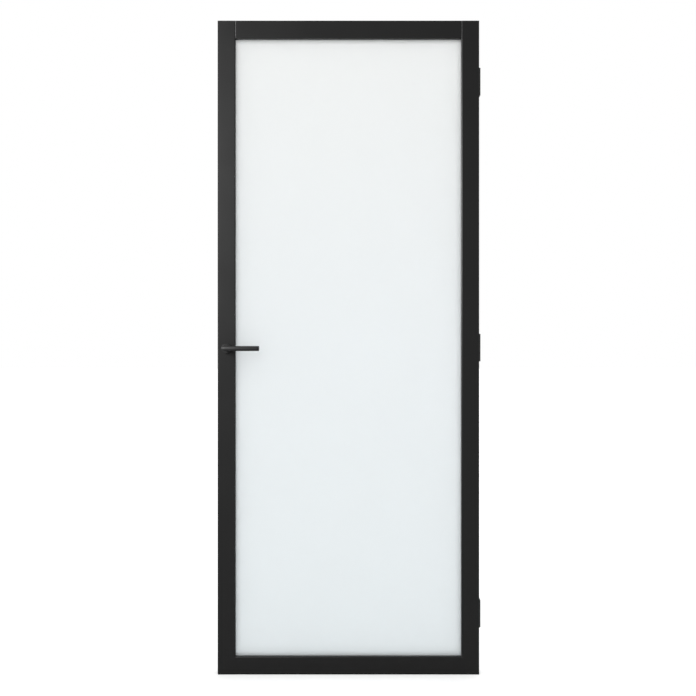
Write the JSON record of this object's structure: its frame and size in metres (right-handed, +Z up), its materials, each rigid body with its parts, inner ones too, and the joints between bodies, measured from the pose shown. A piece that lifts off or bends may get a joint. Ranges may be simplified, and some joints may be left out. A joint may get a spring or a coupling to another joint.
{
  "type": "glass door",
  "caption": "Slim black-framed interior door leaf with a full-height satin glass pane, L-shaped levers, a flush magnetic latch and butt hinges along one edge.",
  "frame": {"origin": "middle of the leaf's bottom edge, at the middle of its thickness", "axes": "+X from the lock edge to the hinge edge, +Y from the front face to the face with the hinge knuckles, +Z up"},
  "size_m": [0.8469, 0.156, 2.1],
  "materials": {
    "black_frame": "matt black polyester powder coat with a fine texture",
    "black_plastic": "matt black moulded nylon",
    "satin_glass": "clear toughened glass, acid etched satin on its faces, pale blue-green",
    "black_rubber": "matt black EPDM",
    "cast_aluminium": "plain sawn and milled",
    "plated_screw": "bright zinc plated",
    "lock_sheet": "zinc plated sheet",
    "black_plate": "matt black powder coat",
    "bolt_steel": "ground steel",
    "spring_wire": "drawn spring wire",
    "black_lever": "matt black fine-texture coat on metal",
    "rose_zinc": "die-cast zinc",
    "bush_nylon": "natural nylon",
    "black_hinge": "matt black coat on steel",
    "ring_steel": "polished bearing steel",
    "backing_steel": "plain steel plate"
  },
  "bodies": {
    "jamb_side": {"bottom_frame_leaf": "black_hinge", "bottom_hinge_pin": "black_hinge", "bottom_rings": "ring_steel", "middle_frame_leaf": "black_hinge", "middle_hinge_pin": "black_hinge", "middle_rings": "ring_steel", "top_frame_leaf": "black_hinge", "top_hinge_pin": "black_hinge", "top_rings": "ring_steel"},
    "leaf": {"lock_stile": "black_frame", "hinge_stile": "black_frame", "top_rail": "black_frame", "bottom_rail": "black_frame", "top_left_cap": "black_plastic", "top_right_cap": "black_plastic", "bottom_left_cap": "black_plastic", "bottom_right_cap": "black_plastic", "access_plugs": "black_plastic", "glass_pane": "satin_glass", "front_gasket": "black_rubber", "back_gasket": "black_rubber", "setting_blocks": "black_rubber", "edge_spacers": "black_rubber", "top_left_cleat": "cast_aluminium", "top_right_cleat": "cast_aluminium", "bottom_left_cleat": "cast_aluminium", "bottom_right_cleat": "cast_aluminium", "cleat_screws": "plated_screw", "rail_screws": "plated_screw", "cover_screws": "plated_screw", "rose_screws": "plated_screw", "lock_case": "lock_sheet", "lock_cover": "lock_sheet", "lock_faceplate": "black_plate", "faceplate_screws": "black_plate", "front_rose_spring": "spring_wire", "back_rose_spring": "spring_wire", "front_rose_cover": "black_lever", "back_rose_cover": "black_lever", "front_rose_base": "rose_zinc", "back_rose_base": "rose_zinc", "front_bush": "bush_nylon", "back_bush": "bush_nylon", "bottom_door_leaf": "black_hinge", "middle_door_leaf": "black_hinge", "top_door_leaf": "black_hinge", "hinge_screws": "black_hinge", "bottom_backing": "backing_steel", "middle_backing": "backing_steel", "top_backing": "backing_steel"},
    "handle": {"front_lever": "black_lever", "back_lever": "black_lever", "spindle": "bolt_steel", "follower": "bolt_steel", "grub_screws": "bolt_steel"},
    "carriage": {"latch_carriage": "lock_sheet", "bolt_spring": "spring_wire"},
    "bolt": {"latch_bolt": "bolt_steel"}
  },
  "joints": [
    {"name": "leaf_swing", "type": "hinge", "parent": "jamb_side", "child": "leaf", "pos_m": [0.4204, 0.0275, 1.05], "axis": [0, 0, -1], "range_deg": [0, 175]},
    {"name": "handle_turn", "type": "hinge", "parent": "leaf", "child": "handle", "pos_m": [-0.39175, 0, 1.047], "axis": [0, 1, 0], "range_deg": [0, 45], "stiffness_Nm_per_rad": 1.2, "springref_deg": -22.92},
    {"name": "draw_slide", "type": "slide", "parent": "leaf", "child": "carriage", "axis": [1, 0, 0], "range_m": [0, 0.011]},
    {"name": "bolt_slide", "type": "slide", "parent": "carriage", "child": "bolt", "axis": [-1, 0, 0], "range_m": [0, 0.011], "stiffness_N_per_m": 40, "springref_m": -0.008, "deforming": ["bolt_spring"]}
  ],
  "couplings": [
    {"joint": "draw_slide", "follows": "handle_turn", "m_per_rad": 0.014}
  ]
}
